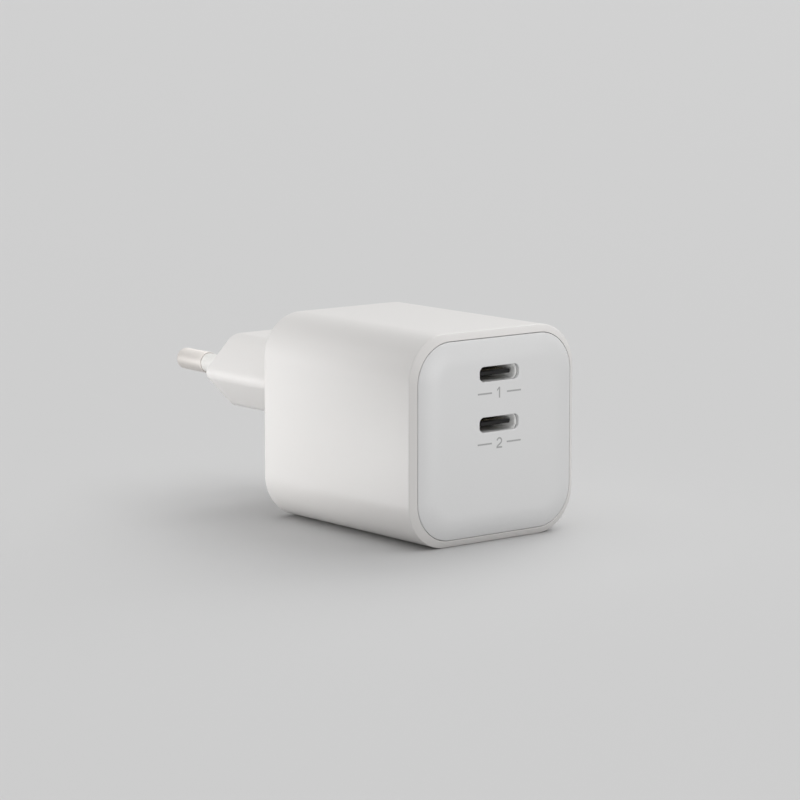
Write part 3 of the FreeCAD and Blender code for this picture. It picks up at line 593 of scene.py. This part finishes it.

# %% [markdown]
# A modifier runs the tree once for each tongue. The result is kept as plain mesh, so that the
# finished contacts can be measured like any other piece.

# %% Contact rows: on the tongues
contact_setback = 1.3
contact_start_y = tip_y + contact_setback
for name, level in socket_levels.items():
    row_start = -(contact_sizes["Count"] - 1) / 2 * contact_sizes["Pitch"]
    middle_y = contact_start_y * MM + contact_sizes["Length"] / 2
    first = (row_start, middle_y, (level + tongue_half_height) * MM)
    holder = bpy.data.objects.new("contact_rows", bpy.data.meshes.new("contact_rows"))
    bpy.context.scene.collection.objects.link(holder)
    modifier = holder.modifiers.new("contact_rows", "NODES")
    modifier.node_group = contact_tree
    for label, value in {**contact_sizes, "First": first, "Finish": contact_gold}.items():
        modifier[identifiers[label]] = value
    evaluated = holder.evaluated_get(bpy.context.evaluated_depsgraph_get())
    contacts = bpy.data.objects.new("contacts_" + name, bpy.data.meshes.new_from_object(evaluated))
    bpy.data.objects.remove(holder)
    contacts.data.materials.clear()
    contacts.data.materials.append(contact_gold)
    bpy.context.scene.collection.objects.link(contacts)
    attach(contacts, "root")
    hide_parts("port_contacts_" + name)
    print(contacts.name, "faces", len(contacts.data.polygons))

# %% [markdown]
# Below each slot is a small grey pad print: a plain number for each socket, between two short rules.
# A text object would bring in a font, so the strokes are drawn as flat outlines. The bowl of the two
# follows an arc.

# %% Socket numbers: strokes
cap_height, stroke, rule_start, rule_end = 1.9, 0.28, 1.7, 4.9
flag_reach, flag_drop, flag_thick = 0.55, 0.42, stroke * 1.2
bowl_radius, bowl_start, bowl_sweep = 0.5, 170, 210


def one_strokes():
    """Outlines of the number one: an upright and the flag at its top."""
    side, top = stroke / 2, cap_height / 2
    upright = [(-side, -top), (side, -top), (side, top), (-side, top)]
    flag = [(-side, top), (-flag_reach, top - flag_drop), (-flag_reach, top - flag_drop - flag_thick),
            (-side, top - flag_thick)]
    return [upright, flag]


def two_strokes(steps=20):
    """Outlines of the number two: a bowl drawn round an arc, a straight down stroke and a foot."""
    top, foot = cap_height / 2, -cap_height / 2
    centre = top - stroke / 2 - bowl_radius
    turn = [math.radians(bowl_start - bowl_sweep * step / steps) for step in range(steps + 1)]
    spine = [Vector((bowl_radius * math.cos(a), centre + bowl_radius * math.sin(a))) for a in turn]
    spine.append(Vector((-bowl_radius, foot + stroke)))
    inner, outer = [], []
    for index, point in enumerate(spine):
        run = (spine[min(index + 1, len(spine) - 1)] - spine[max(index - 1, 0)]).normalized()
        across = Vector((-run.y, run.x)) * stroke / 2
        outer.append(point + across)
        inner.append(point - across)
    bands = [[outer[i], outer[i + 1], inner[i + 1], inner[i]] for i in range(len(spine) - 1)]
    half = bowl_radius + stroke / 2
    return bands + [[(-half, foot), (half, foot), (half, foot + stroke), (-half, foot + stroke)]]


def rule_strokes():
    """Outlines of the two short rules beside a number."""
    half = stroke / 2
    return [[(side * rule_start, -half), (side * rule_end, -half), (side * rule_end, half),
             (side * rule_start, half)] for side in (-1, 1)]


print("strokes in one", len(one_strokes()), "and in two", len(two_strokes()))

# %% [markdown]
# Pad printing leaves a film of ink much thinner than a hair. It is a flat mesh here, a hundredth of a
# millimetre in front of the panel's face, because two surfaces in the same place would flicker.

# %% Socket numbers: print
# Grey printing ink: matt, and darker than the plastic round it.
print_grey = grained("grey_pad_print", "#A3A3A3", "#A9A9A9", 0.3, 0.5, 0.05, 0.0005, ior=1.5)
print_drop = 4.3
for (name, level), digit in zip(socket_levels.items(), (one_strokes, two_strokes)):
    middle = level - print_drop + cap_height / 2
    print_mesh = bmesh.new()
    for outline in digit() + rule_strokes():
        face = print_mesh.faces.new([print_mesh.verts.new(Vector((x, front_y, middle + rise)) * MM)
                                     for x, rise in outline])
        face.normal_update()
        if face.normal.y > 0:
            face.normal_flip()
    number_data = bpy.data.meshes.new("socket_number_" + name)
    print_mesh.to_mesh(number_data)
    print_mesh.free()
    number_data.materials.append(print_grey)
    number = bpy.data.objects.new("socket_number_" + name, number_data)
    bpy.context.scene.collection.objects.link(number)
    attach(number, "root")
    print(number.name, "level", round(middle, 2), "faces", len(number_data.polygons))

# %% [markdown]
# Inside the closed housing sits the circuit. Nothing shows from outside, but the pieces are real
# ones, so each keeps its measured solid and gets the finish that such a part has when the adapter is
# opened.

# %% Inner finishes
inner = {
    # Glass-epoxy board under green resist: the weave shows as a faint darker mottle.
    "board_laminate": grained("green_resist_on_glass_epoxy", "#1C4A33", "#2A6446", 0.6, 0.35, 0.08, 0.002),
    # Sintered ferrite: charcoal with a dry, slightly pitted face.
    "ferrite": grained("sintered_ferrite", "#2A2A2C", "#3A3A3D", 0.25, 0.6, 0.1, 0.004),
    # Black phenolic bobbin: moulded, with a low sheen.
    "bobbin_plastic": grained("black_phenolic", "#151515", "#202020", 0.4, 0.45, 0.08, 0.002),
    # Yellow polyester tape: glossy, and slightly lighter where it stretches round the coil.
    "winding_tape": grained("yellow_polyester_tape", "#D9A520", "#E8BC3E", 1.2, 0.22, 0.05, 0.001),
    # Enamelled copper: round after round of warm brown wire.
    "copper_wire": grained("enamelled_copper", "#9A5226", "#C07540", 0.35, 0.3, 0.08, 0.006,
                           metallic=1.0, stretch=(1, 0.2, 1)),
    # Shrink sleeve on the bulk cans: near-black and glossy.
    "can_sleeve": grained("black_shrink_sleeve", "#15161A", "#22242B", 1.5, 0.2, 0.04, 0.001),
    # Drawn aluminium can: bright, with fine marks along the draw.
    "can_aluminium": grained("drawn_aluminium", "#B9BABC", "#D0D1D3", 0.25, 0.3, 0.08, 0.001,
                             metallic=1.0, stretch=(3, 3, 0.3)),
    # Boxed film capacitor: yellow moulded case.
    "film_box": grained("yellow_moulded_box", "#D6A728", "#E3B93F", 0.8, 0.35, 0.06, 0.002),
    # Moulded epoxy of the chips: charcoal with a fine matt face.
    "chip_epoxy": grained("black_moulded_epoxy", "#1B1B1D", "#28282A", 0.2, 0.55, 0.08, 0.003),
    # Pressed iron powder of the inductors: mid grey and grainy.
    "inductor_powder": grained("pressed_iron_powder", "#4C4C4E", "#606063", 0.2, 0.6, 0.08, 0.005),
    # Glazed ceramic of the fuse: cream and shiny.
    "fuse_ceramic": grained("glazed_ceramic", "#D8D0BC", "#E4DDCB", 1.0, 0.2, 0.04, 0.001),
    # Dipped blue epoxy of the disc capacitor: runs smooth, so the grain is wide.
    "disc_epoxy": grained("blue_dipped_epoxy", "#2458A8", "#2F6BC0", 1.5, 0.25, 0.05, 0.003),
    # Polyester sheet: milky and slightly uneven.
    "barrier_film": grained("milky_polyester_sheet", "#DCD6C4", "#E6E1D2", 2.0, 0.3, 0.05, 0.001),
    # Rolled aluminium sheet: long marks along the roll.
    "spreader_metal": grained("rolled_aluminium", "#B4B5B7", "#CDCED0", 0.3, 0.32, 0.08, 0.001,
                              metallic=1.0, stretch=(3, 0.2, 3)),
    # Filled silicone pad: soft blue-grey and matt.
    "pad_silicone": grained("filled_silicone", "#8C9AAE", "#9BA8BB", 0.5, 0.75, 0.05, 0.004),
    # Tinned copper strip: warm where the tin is thin.
    "strip_copper": grained("tinned_copper_strip", "#B98A5E", "#D2AC86", 0.8, 0.3, 0.08, 0.001,
                            metallic=1.0),
    # Black polyamide of the pin carrier.
    "carrier_plastic": grained("black_polyamide", "#161616", "#222222", 0.3, 0.5, 0.08, 0.002),
}
slots = {part["node"]: part["material_slot"] for part in frame["record"]["subparts"]}
for node, solid in frame["nodes"].items():
    if slots[node] in inner:
        solid.data.materials.clear()
        solid.data.materials.append(inner[slots[node]])
print("inner solids dressed", sum(slot in inner for slot in slots.values()))

# %% [markdown]
# The adapter stands on a pale sheet of paper. The camera sees the sheet in the picture's own grey,
# and so do polished metals. The light that the sheet throws back up is kept lower, because white
# plastic on white paper would otherwise fill its own shadow. Light Path tells the two kinds of ray
# apart. The sheet lies a touch below the adapter, so that the two never share a surface.

# %% Floor
floor_radius, floor_sides, floor_gap = 8000, 64, 0.02


def seen_rays(tree):
    """Gives 1 for rays from the camera, from gloss and through glass, and 0 for scattered light."""
    rays = add(tree, "ShaderNodeLightPath")
    direct = add(tree, "ShaderNodeMath", {"operation": "MAXIMUM"},
                 {0: (rays, "Is Camera Ray"), 1: (rays, "Is Glossy Ray")})
    return add(tree, "ShaderNodeMath", {"operation": "MAXIMUM"},
               {0: (direct, "Value"), 1: (rays, "Is Transmission Ray")})


# Grey background paper: matt and even, with a fine felt grain.
paper = grained("grey_background_paper", "#D1D1D1", "#D3D3D3", 0.4, 0.9, 0.05, 0.001)
surface = paper.node_tree.nodes["Principled BSDF"]
tint = surface.inputs["Base Color"].links[0].from_node
bounce = add(paper.node_tree, "ShaderNodeMix", {"data_type": "RGBA", 6: linear("#AAAAAA")},
             {0: (seen_rays(paper.node_tree), "Value"), 7: (tint, 2)})
paper.node_tree.links.new(bounce.outputs[2], surface.inputs["Base Color"])
floor_mesh = bmesh.new()
bmesh.ops.create_circle(floor_mesh, cap_ends=True, segments=floor_sides, radius=floor_radius * MM)
floor_data = bpy.data.meshes.new("paper_floor")
floor_mesh.to_mesh(floor_data)
floor_mesh.free()
floor_data.materials.append(paper)
floor = bpy.data.objects.new("paper_floor", floor_data)
floor.location.z = -floor_gap * MM
bpy.context.scene.collection.objects.link(floor)
print("floor", 2 * floor_radius * MM, "m across")

# %% [markdown]
# Soft light comes from all round, as in a light tent. The tent's own tone behind the object is the
# paper's, so no horizon shows, and its light on the object is set apart from that by the same test
# of rays.

# %% Sky light
sky_strength = 0.21
world = bpy.data.worlds.new("light_tent")
bpy.context.scene.world = world
world.use_nodes = True
tent = world.node_tree
tent.nodes.clear()
sky = add(tent, "ShaderNodeBackground", {"Color": linear("#FFFFFF"), "Strength": sky_strength})
backdrop = add(tent, "ShaderNodeBackground", {"Color": linear("#D0D0D0"), "Strength": 1.0})
choice = add(tent, "ShaderNodeMixShader",
             links={0: (seen_rays(tent), "Value"), 1: (sky, "Background"), 2: (backdrop, "Background")})
add(tent, "ShaderNodeOutputWorld", links={"Surface": (choice, "Shader")})
print("sky strength", sky_strength)

# %% [markdown]
# Lamps add direction to the even sky. The distant ones are wide discs, as softboxes look from the
# object, so their shadows have soft edges. The one overhead is the widest and does most of the work.
# Those on the right lay the shadow to the left of the body, and the one behind on the right draws a
# thin bright line along the rim's upper edge.

# %% Distant lamps
# Each lamp has the direction it shines from, its strength and its width in degrees.
distant_lamps = {
    "softbox_overhead": ((0.0, 0.0, 1.0), 1.2, 90),
    "softbox_right_rear": ((0.6, 0.4, 0.7), 0.6, 40),
    "softbox_right_front": ((0.5, -0.4, 0.75), 0.3, 40),
    "softbox_right_low": ((0.8, 0.2, 0.5), 0.63, 40),
}
for name, (toward, strength, width) in distant_lamps.items():
    lamp_data = bpy.data.lights.new(name, "SUN")
    lamp_data.energy = strength
    lamp_data.angle = math.radians(width)
    lamp = bpy.data.objects.new(name, lamp_data)
    lamp.rotation_euler = Vector(toward).to_track_quat("Z", "Y").to_euler()
    bpy.context.scene.collection.objects.link(lamp)
print("distant lamps", list(distant_lamps))

# %% [markdown]
# Small boards stand close by, as a photographer's do. Being near, they fade along the body and give
# its long side the slow change from bright to grey. Light linking lets them light the adapter and
# not the paper, so the backdrop keeps its even tone. It also stands in for two tools of the trade: a
# flag that keeps the right front board out of the sockets, and a snoot that lights only their steel.

# %% Near boards
# Each board has its place and target in millimetres, its width and height, and its watts.
near_boards = {
    "board_side": ((-60, 40, 42), (-18, 0, 20), 40, 80, 0.0134),
    "board_plug": ((-90, 130, 15), (-14, 20, 22), 60, 40, 0.0115),
    "board_plug_low": ((-70, 16, 3), (-14, 12, 20), 40, 6, 0.0145),
    "board_front_left": ((-220, -140, 25), (-10, -40, 20), 120, 50, 0.1),
    "board_front_right": ((40, -200, 30), (0, -41, 18), 120, 120, 0.14),
    "snoot_sockets": ((-150, -180, 6), (0, -40, 24), 60, 8, 0.24),
}
inside_sockets = ("socket_shell", "socket_tongue", "contacts")
lit = bpy.data.collections.new("lit_by_boards")
flagged = bpy.data.collections.new("lit_past_the_flag")
snooted = bpy.data.collections.new("lit_through_the_snoot")
for piece in bpy.context.scene.objects:
    if piece.type == "MESH" and piece != floor:
        lit.objects.link(piece)
        if not piece.name.startswith(inside_sockets):
            flagged.objects.link(piece)
        if piece.name.startswith("socket_shell"):
            snooted.objects.link(piece)
receivers = {"board_front_right": flagged, "snoot_sockets": snooted}
for name, (place, target, width, height, watts) in near_boards.items():
    lamp_data = bpy.data.lights.new(name, "AREA")
    lamp_data.shape = "RECTANGLE"
    lamp_data.energy = watts
    lamp_data.size, lamp_data.size_y = width * MM, height * MM
    lamp = bpy.data.objects.new(name, lamp_data)
    lamp.location = Vector(place) * MM
    lamp.rotation_euler = (Vector(place) - Vector(target)).to_track_quat("Z", "Y").to_euler()
    lamp.light_linking.receiver_collection = receivers.get(name, lit)
    bpy.context.scene.collection.objects.link(lamp)

# %% [markdown]
# The picture gets no tone curve, so a hex code in a finish comes out as that colour.

# %% Colour management
bpy.context.scene.view_settings.view_transform = "Standard"
